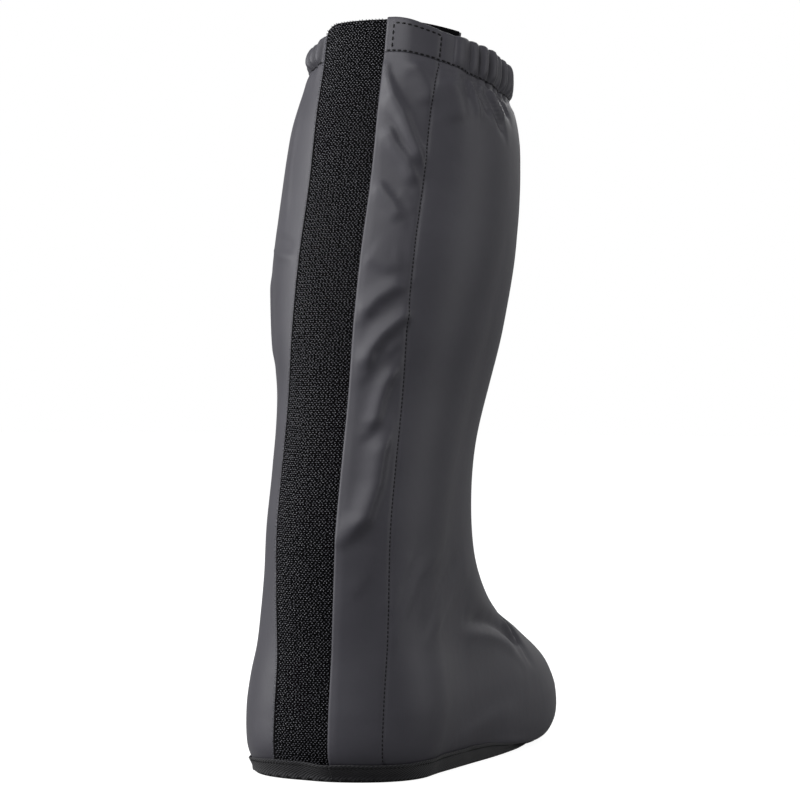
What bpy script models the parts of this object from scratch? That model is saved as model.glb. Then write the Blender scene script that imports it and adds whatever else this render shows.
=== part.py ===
"""Tall rain overshoe that opens down the whole back with hook-and-loop tape.

The frame is +Y toward the toe, +X to the wearer's right and +Z up, and all sizes below are in
millimetres.  One smooth surface, worked out from a short table of sections, shapes every piece:
each piece is a patch of that surface, given in arc length round the boot and in section number,
between an inner and an outer offset.
"""
import bpy
import bmesh
import numpy as np

# Sizes of the overshoe
MM = 0.001
WALL = 1.2                # coated fabric with its lining
GAP = 0.3                 # clearance between pieces that lie on one another
SOLE = 3.0                # rubber sole sheet
SOLE_RING = 8.0           # width of the flat margin round the sole
BINDING = 1.3             # woven tape round the sole edge
BINDING_TOP = 0.65        # section number where the binding ends at the heel, about 12 mm up
BINDING_TOE = 0.32        # the same at the toe, where the cloth runs out further between sections
BINDING_TAPER = (0.25, 0.75)          # parts of the way from heel to toe between which it changes
BINDING_LOW = 2.2         # how far the binding hangs over the edge of the sole
TAPE = 1.6                # hook tape with its hooks
TAPE_FOOT = 0.74          # section number where the hook tape starts, just over the binding
TAPE_LEFT, TAPE_RIGHT = -30.5, 52.0
UNDERLAY_END = 54.0       # raw edge of the left panel, under the flap
LOOP = 1.2                # loop tape sewn inside the flap
LOOP_EDGE, LOOP_SEAM = 13.0, 37.0
LOOP_FOOT = 2.0
FLAP_EDGE = 10.5          # folded edge of the right panel, on top of the hook tape
RAMP = (60.0, 92.0)       # arcs between which the right panel climbs over the closure
HEEL_DRIFT = 7.0          # the hook tape runs this far to the right by the time it is at the heel
CASING_FOOT = 15.0        # section number of the casing's stitched lower edge
CASING_LEFT = -33.0
CASING_FLAT = 56.0        # the casing is flat from the flap edge to here, and gathered beyond
CASING_THIN, CASING_FULL, GATHER = 0.9, 1.7, 1.1
RIM_DROP = 8.0            # the elastic pulls the gathered rim this far below the flat closure
RIM_SLOPE = (8.0, 62.0)   # arcs between which the right panel's rim and seam come down
LEFT_SLOPE = 14.0         # arc over which the left panel's rim comes down
FRONT_BLEND = 80.0        # arc over which the right seam goes back up toward the front
SEAM_FROM, RIM_FROM = 13.4, 14.6      # section numbers where the seam and the rim start to come down
UNDERLAY_LIFT = 3.0       # the left panel's corner stands this far over the flap's rim
SPRING_FROM = 0.66        # fraction of the length where the toe starts to rise
TOE_ROLL = 6.2            # how far the cloth sags between the sole edge and the bulge of the toe
ROLL_FROM, ROLL_TO = 0.38, 0.68       # fractions of the length between which that sag sets in
ROLL_TOP = 1.5            # section number where the sag ends, over the bulge

# The sections, from the sole edge to the collar: the point at the back and the point at the front,
# half widths at heel and ball, the lengths over which the two ends round off, how far the section
# is a flat plane and not the curve of the sole, and the inward shift of the toe
SECTION_COLUMNS = ("back_y", "back_z", "front_y", "front_z", "half_heel", "half_ball",
                   "round_back", "round_front", "plane", "toe_shift")
SECTIONS = np.array([
    (0.0, 3.3, 264, 9.3, 51.0, 57.0, 44, 100, 0.0, -7),      # sole edge
    (-5.0, 16, 294, 24, 55.5, 64.0, 48, 98, 0.3, -6),        # heel and toe bulge
    (-4.0, 35, 285, 49, 57.0, 60.0, 50, 96, 0.6, -5),
    (-2.0, 52, 249, 68, 55.0, 52.0, 50, 95, 1.0, -4),        # top of the toe
    (0.0, 69, 210, 81, 51.5, 51.5, 50, 88, 1.0, -3),         # vamp
    (1.0, 87, 181, 97, 49.5, 51.0, 52, 80, 1.0, -2),
    (2.5, 108, 161, 120, 48.5, 50.5, 55, 75, 1.0, -1),       # instep
    (5.0, 134, 155, 150, 49.5, 49.5, 60, 70, 1.0, 0),        # ankle
    (12.0, 165, 160, 183, 50.5, 50.5, 64, 70, 1.0, 0),
    (22.0, 205, 173, 218, 54.0, 54.0, 68, 70, 1.0, 0),
    (30.0, 246, 180, 251, 61.0, 61.0, 70, 70, 1.0, 0),
    (41.0, 287, 186, 282, 66.0, 66.0, 70, 70, 1.0, 0),       # calf
    (55.0, 328, 192, 313, 67.0, 67.0, 70, 70, 1.0, 0),
    (64.0, 364, 198, 345, 65.0, 65.0, 66, 66, 1.0, 0),
    (71.0, 388, 203, 368, 59.0, 59.0, 62, 62, 1.0, 0),
    (74.0, 400, 206, 382, 55.0, 54.5, 60, 60, 1.0, 0),       # casing seam
    (78.5, 420, 212, 401, 54.0, 53.0, 61, 61, 1.0, 0),       # rim of the collar
], float)
TOP = len(SECTIONS) - 1

# Height of the flap's inner face over the left panel, by section number
FLAP_RISE = np.array([(0, 1.0), (1, 2.9), (2, 3.7), (TOP, 3.7)], float)

# Section numbers of the upper's rows, with the rows where other pieces start or end
LEVELS = (0, 0.33, BINDING_TOP, TAPE_FOOT, 1.3, LOOP_FOOT, 2.6, 3.2, 3.8, 4.4, 5, 5.6, 6.2, 6.8, 7.4, 8,
          8.7, 9.4, 10.1, 10.8, 11.5, 12.2, 12.9, 13.5, 14.1, 14.6, CASING_FOOT, 15.33, 15.67, TOP)

# Arcs of the columns near the closure, in millimetres to the right of the back centre
UNDER_ARCS = (UNDERLAY_END, TAPE_RIGHT, 45, 37, 29, 21, 13, 6, -1, -8, -15.5, -23, TAPE_LEFT, CASING_LEFT)
OVER_ARCS = (RAMP[1], 84, 76, 68, RAMP[0], CASING_FLAT, TAPE_RIGHT, 45, LOOP_SEAM, 29, 21, LOOP_EDGE, FLAP_EDGE)
LEFT_COUNT, RIGHT_COUNT = 16, 14


def ease(value):
    value = np.clip(value, 0.0, 1.0)
    return value * value * (3 - 2 * value)


def rounded(value):
    """Rise from 0 to 1 like the end of a squarish ellipse."""
    return (1 - (1 - np.clip(value, 0, 1)) ** 2.2) ** (1 / 2.2)


def toe_spring(along):
    """Rise of the toe, from 0 where the ball lifts off the floor to 1 at the tip."""
    return np.clip((along - SPRING_FROM) / (1 - SPRING_FROM), 0, 1) ** 2


def section_row(level):
    """Sizes of the section at a fractional section number, by a spline through the table."""
    low = min(int(level), TOP - 1)
    part = level - low
    a, b = SECTIONS[low], SECTIONS[low + 1]
    slope_a = (b - SECTIONS[low - 1]) / 2 if low else b - a
    slope_b = (SECTIONS[low + 2] - a) / 2 if low + 2 <= TOP else b - a
    return ((1 + 2 * part) * (1 - part) ** 2 * a + part * (1 - part) ** 2 * slope_a
            + part ** 2 * (3 - 2 * part) * b + part ** 2 * (part - 1) * slope_b)


def section(level, count=361):
    """Closed curve of one section with its arc lengths from the back centre, right positive."""
    size = dict(zip(SECTION_COLUMNS, section_row(level)))
    turn = np.linspace(-np.pi, np.pi, count)
    along = (1 - np.cos(turn)) / 2
    depth = size["front_y"] - size["back_y"]
    fit = min(1.0, depth / (size["round_back"] + size["round_front"]))
    half = size["half_heel"] + (size["half_ball"] - size["half_heel"]) * ease((along - 0.15) / 0.55)
    half = half * rounded(along * depth / (size["round_back"] * fit))
    half = half * rounded((1 - along) * depth / (size["round_front"] * fit))
    rise = (1 - size["plane"]) * toe_spring(along) + size["plane"] * along
    points = np.stack([np.sign(turn) * half + size["toe_shift"] * ease((along - 0.45) / 0.55),
                       size["back_y"] + along * depth,
                       size["back_z"] + (size["front_z"] - size["back_z"]) * rise], axis=1)
    sag = TOE_ROLL * np.sin(np.pi * min(level / ROLL_TOP, 1.0))
    points[:, 2] -= sag * ease((along - ROLL_FROM) / (ROLL_TO - ROLL_FROM))
    arcs = np.concatenate([[0], np.cumsum(np.linalg.norm(np.diff(points, axis=0), axis=1))])
    return arcs - arcs[count // 2], points


def girth(level):
    arcs, _ = section(level)
    return arcs[-1] - arcs[0]


def on_curve(curve, arcs):
    table, points = curve
    period = table[-1] - table[0]
    return np.stack([np.interp(arcs, table, points[:, axis], period=period) for axis in range(3)], axis=1)


def skin(arcs, level):
    """Points of the boot's surface and their outward normals, level at the sole edge."""
    arcs = np.asarray(arcs, float)
    curve = section(level)
    up, down = section(min(level + 0.03, TOP)), section(max(level - 0.03, 0))
    points = on_curve(curve, arcs)
    across = on_curve(curve, arcs + 0.6) - on_curve(curve, arcs - 0.6)
    upward = on_curve(up, arcs) - on_curve(down, arcs)
    normals = np.cross(across, upward)
    normals[:, 2] *= ease(level)
    normals /= np.linalg.norm(normals, axis=1)[:, None]
    points[:, 2] -= rim_drop(arcs, level)
    return points, normals


def rim_drop(arcs, level):
    """How far the elastic pulls the collar down: rim and seam on the right, mostly the rim on the left."""
    rim = ease((level - RIM_FROM) / (TOP - RIM_FROM))
    seam = ease((level - SEAM_FROM) / (CASING_FOOT - SEAM_FROM))
    to_front = ease((arcs - RAMP[1]) / FRONT_BLEND)
    right = ease((arcs - RIM_SLOPE[0]) / (RIM_SLOPE[1] - RIM_SLOPE[0])) * (seam + (rim - seam) * to_front)
    left = ease((CASING_LEFT - arcs) / LEFT_SLOPE) * rim
    return RIM_DROP * np.maximum(right, left)


def underlay_drop(arcs, level):
    """The left panel's corner, past the loop tape, doesn't sink as far as the flap's own rim."""
    corner = ease((arcs - LOOP_SEAM) / (UNDERLAY_END - LOOP_SEAM))
    return -UNDERLAY_LIFT * corner * ease((level - SEAM_FROM) / (CASING_FOOT - SEAM_FROM))


def drift(level):
    return HEEL_DRIFT * (1 - ease((level - 3) / 5))


def flap_rise(level):
    return np.interp(level, FLAP_RISE[:, 0], FLAP_RISE[:, 1])


def flap_outer(arcs, level):
    """Outer face of the right panel: flush with the boot, then climbing over the closure."""
    return (flap_rise(level) + WALL) * (1 - ease((arcs - RAMP[0]) / (RAMP[1] - RAMP[0])))


def skirt_outer(arcs, level):
    """The flap's outer face low on the heel, eased down to the left panel past the flap edge."""
    past_edge = ease((arcs - (FLAP_EDGE - 20)) / 20)
    return flap_outer(arcs, level) * past_edge


def crowded(count):
    """Fractions from 0 to 1, closer together at both ends, for the tighter curves of heel and toe."""
    even = np.linspace(0, 1, count)
    return even - 0.09 * np.sin(2 * np.pi * even)


def under_arcs(level):
    """Columns of the left panel, from its raw edge under the flap round to the front."""
    near = np.array(UNDER_ARCS) + drift(level) * (np.array(UNDER_ARCS) > CASING_LEFT - 1)
    front = crowded(LEFT_COUNT)[1:]
    return np.concatenate([near, near[-1] + (-girth(level) / 2 - near[-1]) * front])


def over_arcs(level):
    """Columns of the right panel, from the front round to the folded edge of the flap."""
    front = crowded(RIGHT_COUNT)[1:-1]
    half = girth(level) / 2
    return np.concatenate([half + (RAMP[1] - half) * front, OVER_ARCS])


def grid_solid(name, inner, outer, material):
    """Closed solid between two grids of points with the same rows and columns."""
    inner, outer = np.array(inner), np.array(outer)
    rows, columns = inner.shape[:2]
    mesh = bpy.data.meshes.new(name)
    points = np.concatenate([inner.reshape(-1, 3), outer.reshape(-1, 3)])

    def index(side, row, column):
        return (side * rows + row) * columns + column

    faces = []
    for row in range(rows - 1):
        for column in range(columns - 1):
            for side in (0, 1):
                faces.append([index(side, row, column), index(side, row, column + 1),
                              index(side, row + 1, column + 1), index(side, row + 1, column)])
    for column in range(columns - 1):
        for row in (0, rows - 1):
            faces.append([index(0, row, column), index(0, row, column + 1),
                          index(1, row, column + 1), index(1, row, column)])
    for row in range(rows - 1):
        for column in (0, columns - 1):
            faces.append([index(0, row, column), index(0, row + 1, column),
                          index(1, row + 1, column), index(1, row, column)])
    mesh.from_pydata((points * MM).tolist(), [], faces)
    return finish(name, mesh, material)


def finish(name, mesh, material):
    """Triangulate, face outward, and link the piece with its material."""
    shape = bmesh.new()
    shape.from_mesh(mesh)
    bmesh.ops.triangulate(shape, faces=shape.faces, quad_method='SHORT_EDGE', ngon_method='BEAUTY')
    bmesh.ops.recalc_face_normals(shape, faces=shape.faces)
    if shape.calc_volume(signed=True) < 0:
        bmesh.ops.reverse_faces(shape, faces=shape.faces)
    shape.to_mesh(mesh)
    shape.free()
    mesh.materials.append(material)
    piece = bpy.data.objects.new(name, mesh)
    bpy.context.collection.objects.link(piece)
    return piece


def lay(rows):
    """Grids of points from rows of (arcs, level, inner offset, outer offset, drop)."""
    inner, outer = [], []
    for arcs, level, low, high, drop in rows:
        points, normals = skin(arcs, level)
        points[:, 2] -= drop
        inner.append(points + normals * np.reshape(low, (-1, 1)))
        outer.append(points + normals * np.reshape(high, (-1, 1)))
    return inner, outer


def colour(name, rgb, roughness):
    material = bpy.data.materials.new(name)
    material.use_nodes = True
    shader = material.node_tree.nodes["Principled BSDF"]
    shader.inputs["Base Color"].default_value = (*rgb, 1)
    shader.inputs["Roughness"].default_value = roughness
    return material


def make_upper(material):
    """One sheet of coated fabric wrapped round the boot, lapping over itself at the back."""
    rows = []
    for level in LEVELS:
        under, over = under_arcs(level), over_arcs(level)
        arcs = np.concatenate([under, over])
        high = np.concatenate([np.zeros(len(under)), flap_outer(over, level)])
        drop = np.concatenate([underlay_drop(under, level), np.zeros(len(over))])
        rows.append((arcs, level, high - WALL, high, drop))
    return grid_solid("upper", *lay(rows), material)


def edge_arcs(level):
    """Columns of the binding and the sole: left of the flap edge, round the front, to the flap edge."""
    left = under_arcs(level)
    left = left[left < FLAP_EDGE - 0.5]
    return np.concatenate([[FLAP_EDGE - 0.2], left, over_arcs(level)[:-1], [FLAP_EDGE + 0.2]])


def binding_top(arcs):
    """Section number of the binding's upper edge, so that the tape keeps its width along the cloth."""
    way = np.abs(arcs) / (girth(0) / 2)
    taper = ease((way - BINDING_TAPER[0]) / (BINDING_TAPER[1] - BINDING_TAPER[0]))
    return BINDING_TOP + (BINDING_TOE - BINDING_TOP) * taper


def make_binding(material):
    """Woven tape round the sole edge, its two ends butted at the flap edge."""
    tops = binding_top(edge_arcs(0))
    inner, outer = [], []
    for share, drop in ((0, BINDING_LOW), (0, 0), (0.33, 0), (0.67, 0), (1, 0)):
        columns = []
        for column, level in enumerate(tops * share):
            arcs = edge_arcs(level)[column:column + 1]
            low = skirt_outer(arcs, level) + GAP
            columns.append(lay([(arcs, level, low, low + BINDING, drop)]))
        inner.append([low[0][0] for low, _ in columns])
        outer.append([high[0][0] for _, high in columns])
    return grid_solid("sole_binding", inner, outer, material)


def make_sole(material):
    """Flat rubber sheet with the outline of the upper's lower edge and its toe spring."""
    arcs = edge_arcs(0)[1:]
    points, normals = skin(arcs, 0)
    edge = points + normals * skirt_outer(arcs, 0)[:, None]
    ring = points - normals * SOLE_RING
    size = dict(zip(SECTION_COLUMNS, SECTIONS[0]))
    along = (ring[:, 1] - size["back_y"]) / (size["front_y"] - size["back_y"])
    ring[:, 2] = size["back_z"] + (size["front_z"] - size["back_z"]) * toe_spring(along)
    count = len(edge)
    loops = np.concatenate([ring - (0, 0, GAP), edge - (0, 0, GAP),
                            edge - (0, 0, GAP + SOLE), ring - (0, 0, GAP + SOLE)])
    faces = [list(range(count)), list(range(3 * count, 4 * count))]
    for loop in range(3):
        for i in range(count):
            after = (i + 1) % count
            faces.append([loop * count + i, loop * count + after,
                          (loop + 1) * count + after, (loop + 1) * count + i])
    mesh = bpy.data.meshes.new("sole")
    mesh.from_pydata((loops * MM).tolist(), [], faces)
    return finish("sole", mesh, material)


def make_back_tape(material):
    """Wide hook tape along the edge of the left panel."""
    rows = []
    for level in LEVELS[LEVELS.index(TAPE_FOOT):]:
        arcs = under_arcs(level)[1:len(UNDER_ARCS) - 1]
        rows.append((arcs, level, GAP, GAP + TAPE, underlay_drop(arcs, level)))
    return grid_solid("back_tape", *lay(rows), material)


def make_flap_tape(material):
    """Narrower loop tape along the inside of the flap."""
    rows = []
    for level in LEVELS[LEVELS.index(LOOP_FOOT):]:
        arcs = over_arcs(level)
        arcs = arcs[(arcs >= LOOP_EDGE) & (arcs <= LOOP_SEAM)]
        high = flap_rise(level) - GAP
        rows.append((arcs, level, high - LOOP, high, 0))
    return grid_solid("flap_tape", *lay(rows), material)


def make_collar(material):
    """Gathered casing over the elastic, flat and box-stitched where it crosses the flap."""
    fullness = {CASING_FOOT: 0.0, 15.33: 1.0, 15.67: 0.9, TOP: 0.3}
    inner, outer = [], []
    for level, full in fullness.items():
        under = under_arcs(level)[len(UNDER_ARCS) - 1:]
        over = over_arcs(level)
        arcs = np.concatenate([under, over])
        base = np.concatenate([np.zeros(len(under)), flap_outer(over, level)]) + GAP
        flat = np.concatenate([np.zeros(len(under), bool), over <= CASING_FLAT])
        points, normals = skin(arcs, level)
        seat = points + normals * base[:, None]
        thick = np.where(flat, CASING_THIN, CASING_THIN + (CASING_FULL - CASING_THIN) * full)
        low, high = [], []
        for i in range(len(arcs)):
            low.append(seat[i])
            high.append(seat[i] + normals[i] * thick[i])
            if i + 1 < len(arcs) and not flat[i]:
                fold = GATHER * (0.35 + 0.65 * full) * (not flat[i + 1])
                middle = (seat[i] + seat[i + 1]) / 2
                low.append(middle)
                high.append(middle + (normals[i] + normals[i + 1]) / 2 * (thick[i] + fold))
        inner.append(low)
        outer.append(high)
    return grid_solid("elastic_collar", inner, outer, material)


for leftover in list(bpy.data.objects):
    bpy.data.objects.remove(leftover)

pieces = [
    make_upper(colour("coated polyester", (0.10, 0.10, 0.105), 0.5)),
    make_sole(colour("rubber sheet", (0.015, 0.015, 0.015), 0.7)),
    make_binding(colour("woven polyester binding", (0.035, 0.035, 0.04), 0.85)),
    make_back_tape(colour("nylon hook tape", (0.012, 0.012, 0.012), 0.8)),
    make_flap_tape(colour("nylon loop tape", (0.02, 0.02, 0.02), 0.9)),
    make_collar(colour("gathered coated polyester", (0.10, 0.10, 0.105), 0.5)),
]

# The origin is the middle of the whole overshoe's box, on the floor
corners = np.array([vertex.co for piece in pieces for vertex in piece.data.vertices])
low, high = corners.min(axis=0), corners.max(axis=0)
shift = -np.array([(low[0] + high[0]) / 2, (low[1] + high[1]) / 2, low[2]])
for piece in pieces:
    for vertex in piece.data.vertices:
        vertex.co = [value + step for value, step in zip(vertex.co, shift)]
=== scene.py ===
# %% [markdown]
# # A tall rain overshoe
# The object is a waterproof cover that is worn over a shoe: a tall shaft of grey coated polyester that
# opens down the whole back, closed by a wide strip of black hook tape under a flap, with a gathered
# elastic collar, a thin rubber sole and a woven binding round the sole's edge.
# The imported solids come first, because every visible piece is laid exactly where its solid is.

import bmesh
import bpy
import numpy as np
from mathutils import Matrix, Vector


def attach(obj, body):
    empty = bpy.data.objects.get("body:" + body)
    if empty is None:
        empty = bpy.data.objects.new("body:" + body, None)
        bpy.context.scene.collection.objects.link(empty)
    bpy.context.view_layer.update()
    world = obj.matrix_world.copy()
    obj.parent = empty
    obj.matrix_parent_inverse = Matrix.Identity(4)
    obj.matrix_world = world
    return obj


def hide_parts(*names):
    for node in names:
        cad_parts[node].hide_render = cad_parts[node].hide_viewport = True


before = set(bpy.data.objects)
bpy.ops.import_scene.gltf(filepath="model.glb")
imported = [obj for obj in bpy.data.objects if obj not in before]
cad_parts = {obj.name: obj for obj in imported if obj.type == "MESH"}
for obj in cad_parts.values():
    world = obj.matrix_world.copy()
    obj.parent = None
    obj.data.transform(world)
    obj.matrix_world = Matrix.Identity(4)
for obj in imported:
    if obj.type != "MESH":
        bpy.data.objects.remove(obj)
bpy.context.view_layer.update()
MM = 0.001
print("nodes:", sorted(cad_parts))

# %% [markdown]
# ## Camera
# The photograph looks at the back of the overshoe, about 24 degrees round to its right side, from a level
# camera at half its height.  A long lens keeps the verticals straight, as in a catalogue picture.
# The camera could be fitted by eye; here its place and its aim were measured from the outline.

# %% Camera
CAMERA_PLACE = Vector((0.6101, -1.5133, 0.2080))
CAMERA_AIM = Vector((0.0419, -0.1243, 0.2055))
CAMERA_LENS, SENSOR_WIDE = 125.1, 36.0       # millimetres


def add_object(name, data):
    """Add an object to the scene."""
    thing = bpy.data.objects.new(name, data)
    bpy.context.scene.collection.objects.link(thing)
    return thing


def aim(thing, place, target):
    """Put a camera or a light in its place and turn it to face a point."""
    thing.location = place
    thing.rotation_euler = (target - Vector(place)).to_track_quat("-Z", "Y").to_euler()


camera_data = bpy.data.cameras.new("camera")
camera_data.lens = CAMERA_LENS
camera_data.sensor_width = SENSOR_WIDE
camera_data.clip_end = 50.0
camera = add_object("camera", camera_data)
aim(camera, CAMERA_PLACE, CAMERA_AIM)
bpy.context.scene.camera = camera
print("camera distance:", round((CAMERA_AIM - CAMERA_PLACE).length, 3), "m")

# %% [markdown]
# ## Nodes and colours
# Every finish below is a small node tree.  Colours are written as the hex values that a colour picker
# shows, so one function turns them into the linear values that the shader wants.  One more function adds
# a node with its settings and its incoming links.  Most finishes here let one fine pattern drive colour,
# gloss and relief together, because on the real cloth, tape and rubber the same threads or grains do that.


# %% Helpers for materials
def linear(code):
    """Linear RGBA of an sRGB hex colour."""
    channels = [int(code[i:i + 2], 16) / 255 for i in (1, 3, 5)]
    return [c / 12.92 if c <= 0.04045 else ((c + 0.055) / 1.055) ** 2.4 for c in channels] + [1.0]


def feed(material, node, sources):
    """Link sockets to the named inputs of a node."""
    for key, source in sources.items():
        material.node_tree.links.new(source, node.inputs[key])


def add_node(material, kind, settings, links):
    """Add a node: settings are properties or unlinked inputs, links are sockets that feed its inputs."""
    node = material.node_tree.nodes.new("ShaderNode" + kind)
    for key, value in settings.items():
        if hasattr(node, key):
            setattr(node, key, value)
        else:
            node.inputs[key].default_value = value
    feed(material, node, links)
    return node


def start_material(name, constants):
    """A new material with its Principled shader set to the given constants."""
    material = bpy.data.materials.new(name)
    material.use_nodes = True
    shader = material.node_tree.nodes["Principled BSDF"]
    for key, value in constants.items():
        shader.inputs[key].default_value = value
    return material, shader


def dress(material, shader, pattern, colours, gloss, bump=None, span=(0.0, 1.0)):
    """Let one pattern drive a finish: two colours, a range of roughness, strength and depth of relief."""
    tint = add_node(material, "ValToRGB", {}, {"Fac": pattern})
    for stop, code, position in zip(tint.color_ramp.elements, colours, span):
        stop.color = linear(code)
        stop.position = position
    rough = add_node(material, "MapRange", {"To Min": gloss[0], "To Max": gloss[1]}, {"Value": pattern})
    feed(material, shader, {"Base Color": tint.outputs["Color"], "Roughness": rough.outputs["Result"]})
    if bump:
        relief = add_node(material, "Bump", {"Strength": bump[0], "Distance": bump[1]}, {"Height": pattern})
        feed(material, shader, {"Normal": relief.outputs["Normal"]})


def grained(name, colours, gloss, grain, detail, specular, bump=None, coordinates="Object"):
    """A material with one fine grain, given by its size in metres."""
    material, shader = start_material(name, {"Specular IOR Level": specular})
    place = add_node(material, "TexCoord", {}, {}).outputs[coordinates]
    speckle = add_node(material, "TexNoise", {"Scale": 1 / grain, "Detail": detail}, {"Vector": place})
    dress(material, shader, speckle.outputs["Fac"], colours, gloss, bump)
    return material


print("mid grey is", [round(c, 3) for c in linear("#808080")[:3]])

# %% [markdown]
# ## Studio
# The overshoe stands on a plain white floor in soft light.  The brightest light is a large panel to the
# left of the camera, so the left side is pale and the right side falls into shade.  A high panel and a
# wide fill panel bring out the folds of the back, a side panel and a weak strip draw the right edge, and a
# panel in front keeps the toe out of the dark.  Area lights are used because their size sets how soft the
# shading is.

# %% Floor
FLOOR_SIZE = 12.0            # metres
FLOOR_GAP = 0.2 * MM         # keeps the floor from showing through the tread
FLOOR_GLOW = 0.93            # the camera sees the sweep as white, though it throws little light back
WHITE = (1.0, 1.0, 1.0, 1.0)


def to_mesh(name, shape):
    """Turn a finished bmesh into a mesh."""
    mesh = bpy.data.meshes.new(name)
    shape.to_mesh(mesh)
    shape.free()
    return mesh


sweep, sweep_shader = start_material("white paper sweep", {"Roughness": 0.9, "Emission Color": WHITE})
paper = add_node(sweep, "TexNoise", {"Scale": 40.0, "Detail": 3.0},
                 {"Vector": add_node(sweep, "TexCoord", {}, {}).outputs["Object"]})
paper_tint = add_node(sweep, "MapRange", {"To Min": 0.22, "To Max": 0.26}, {"Value": paper.outputs["Fac"]})
glow = add_node(sweep, "MapRange", {"To Min": 0.0, "To Max": FLOOR_GLOW},
                {"Value": add_node(sweep, "LightPath", {}, {}).outputs["Is Camera Ray"]})
feed(sweep, sweep_shader, {"Base Color": paper_tint.outputs["Result"],
                           "Emission Strength": glow.outputs["Result"]})
floor_shape = bmesh.new()
bmesh.ops.create_grid(floor_shape, x_segments=2, y_segments=2, size=FLOOR_SIZE)
bmesh.ops.translate(floor_shape, verts=floor_shape.verts, vec=(0.0, 0.0, -FLOOR_GAP))
floor_mesh = to_mesh("floor", floor_shape)
floor_mesh.materials.append(sweep)
add_object("floor", floor_mesh)
print("floor:", len(floor_mesh.polygons), "faces")

# %% World
WORLD_LIGHT, WORLD_SEEN = 0.32, 1.0        # soft fill on the object, and pure white behind it
world = bpy.data.worlds.new("studio")
world.use_nodes = True
background = world.node_tree.nodes["Background"]
background.inputs["Color"].default_value = WHITE
seen = add_node(world, "MapRange", {"To Min": WORLD_LIGHT, "To Max": WORLD_SEEN},
                {"Value": add_node(world, "LightPath", {}, {}).outputs["Is Camera Ray"]})
feed(world, background, {"Strength": seen.outputs["Result"]})
bpy.context.scene.world = world
bpy.context.scene.view_settings.view_transform = "Standard"
print("world:", world.name)

# %% Lights
LIGHT_AIM = Vector((0.0, -0.02, 0.22))
LIGHTS = {               # place, width, height and watts
    "key_panel": ((-1.6, -0.8, 0.85), 1.0, 1.4, 40.0),
    "high_panel": ((-0.35, -1.3, 1.7), 1.2, 1.2, 21.5),
    "fill_panel": ((0.9, -1.5, 1.3), 2.2, 2.2, 5.0),
    "side_panel": ((1.5, 0.35, 0.75), 0.7, 1.4, 6.8),
    "rim_strip": ((0.45, 1.9, 0.7), 0.25, 1.2, 0.7),
    "front_panel": ((-0.5, 1.8, 1.3), 1.4, 1.4, 14.0),
}
for light_name, (place, width, height, watts) in LIGHTS.items():
    light_data = bpy.data.lights.new(light_name, "AREA")
    light_data.shape = "RECTANGLE"
    light_data.size = width
    light_data.size_y = height
    light_data.energy = watts
    aim(add_object(light_name, light_data), place, LIGHT_AIM)
print("lights:", list(LIGHTS))

# %% [markdown]
# ## The shape of the boot
# A boot cover is cut from flat cloth, but it hangs in the shape of the leg and the shoe inside it.  That
# shape is described as a tailor would take it: one row of measures for each section from the sole edge
# to the collar.  A point on the boot is then named by its arc, the millimetres round from the back centre
# with right positive, and by its level, the section number.  The solids have the same measures.

# %% Section measures, in millimetres
BOOT_MOVE = np.array((-0.08, -143.04, 0.0))     # from the table's own frame to the frame of the solids
SECTION_COLUMNS = ("back_y", "back_z", "front_y", "front_z", "half_heel", "half_ball",
                   "round_back", "round_front", "plane", "toe_shift")
SECTIONS = np.array([
    (0.0, 3.3, 264, 9.3, 51.0, 57.0, 44, 100, 0.0, -7),      # sole edge
    (-5.0, 16, 294, 24, 55.5, 64.0, 48, 98, 0.3, -6),        # heel and toe bulge
    (-4.0, 35, 285, 49, 57.0, 60.0, 50, 96, 0.6, -5),
    (-2.0, 52, 249, 68, 55.0, 52.0, 50, 95, 1.0, -4),        # top of the toe
    (0.0, 69, 210, 81, 51.5, 51.5, 50, 88, 1.0, -3),         # vamp
    (1.0, 87, 181, 97, 49.5, 51.0, 52, 80, 1.0, -2),
    (2.5, 108, 161, 120, 48.5, 50.5, 55, 75, 1.0, -1),       # instep
    (5.0, 134, 155, 150, 49.5, 49.5, 60, 70, 1.0, 0),        # ankle
    (12.0, 165, 160, 183, 50.5, 50.5, 64, 70, 1.0, 0),
    (22.0, 205, 173, 218, 54.0, 54.0, 68, 70, 1.0, 0),
    (30.0, 246, 180, 251, 61.0, 61.0, 70, 70, 1.0, 0),
    (41.0, 287, 186, 282, 66.0, 66.0, 70, 70, 1.0, 0),       # calf
    (55.0, 328, 192, 313, 67.0, 67.0, 70, 70, 1.0, 0),
    (64.0, 364, 198, 345, 65.0, 65.0, 66, 66, 1.0, 0),
    (71.0, 388, 203, 368, 59.0, 59.0, 62, 62, 1.0, 0),
    (74.0, 400, 206, 382, 55.0, 54.5, 60, 60, 1.0, 0),       # casing seam
    (78.5, 420, 212, 401, 54.0, 53.0, 61, 61, 1.0, 0),       # rim of the collar
], float)
TOP = len(SECTIONS) - 1
WALL = 1.2                # coated fabric with its lining
GAP = 0.3                 # clearance between pieces that lie on one another
FLAP_EDGE = 10.5          # folded edge of the right panel
FLAP_SEAM = 38.5          # the seam that holds the loop tape inside the flap
CLIMB = (128.0, 40.0)     # arcs between which the right panel climbs to pass over the closure
TAPE_LEFT, TAPE_RIGHT = -30.5, 52.0
TAPE_FOOT = 0.6           # the tape goes down behind the binding
UNDERLAY_END = 54.0       # raw edge of the left panel, under the flap
LOOP_EDGE, LOOP_SEAM, LOOP_FOOT = 13.0, 37.0, 2.0
HEEL_DRIFT = 7.0          # the hook tape runs this far to the right by the time it is at the heel
DRIFT_LEVELS = (8, 3)
CASING_FOOT = 15.0
CASING_LEFT = -33.0
RIM_DROP = 8.0            # the elastic pulls the gathered rim this far below the flat closure
RIM_RIGHT, RIM_LEFT = (8.0, 62.0), (-22.0, -44.0)     # arcs over which it gets there on each side
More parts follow.
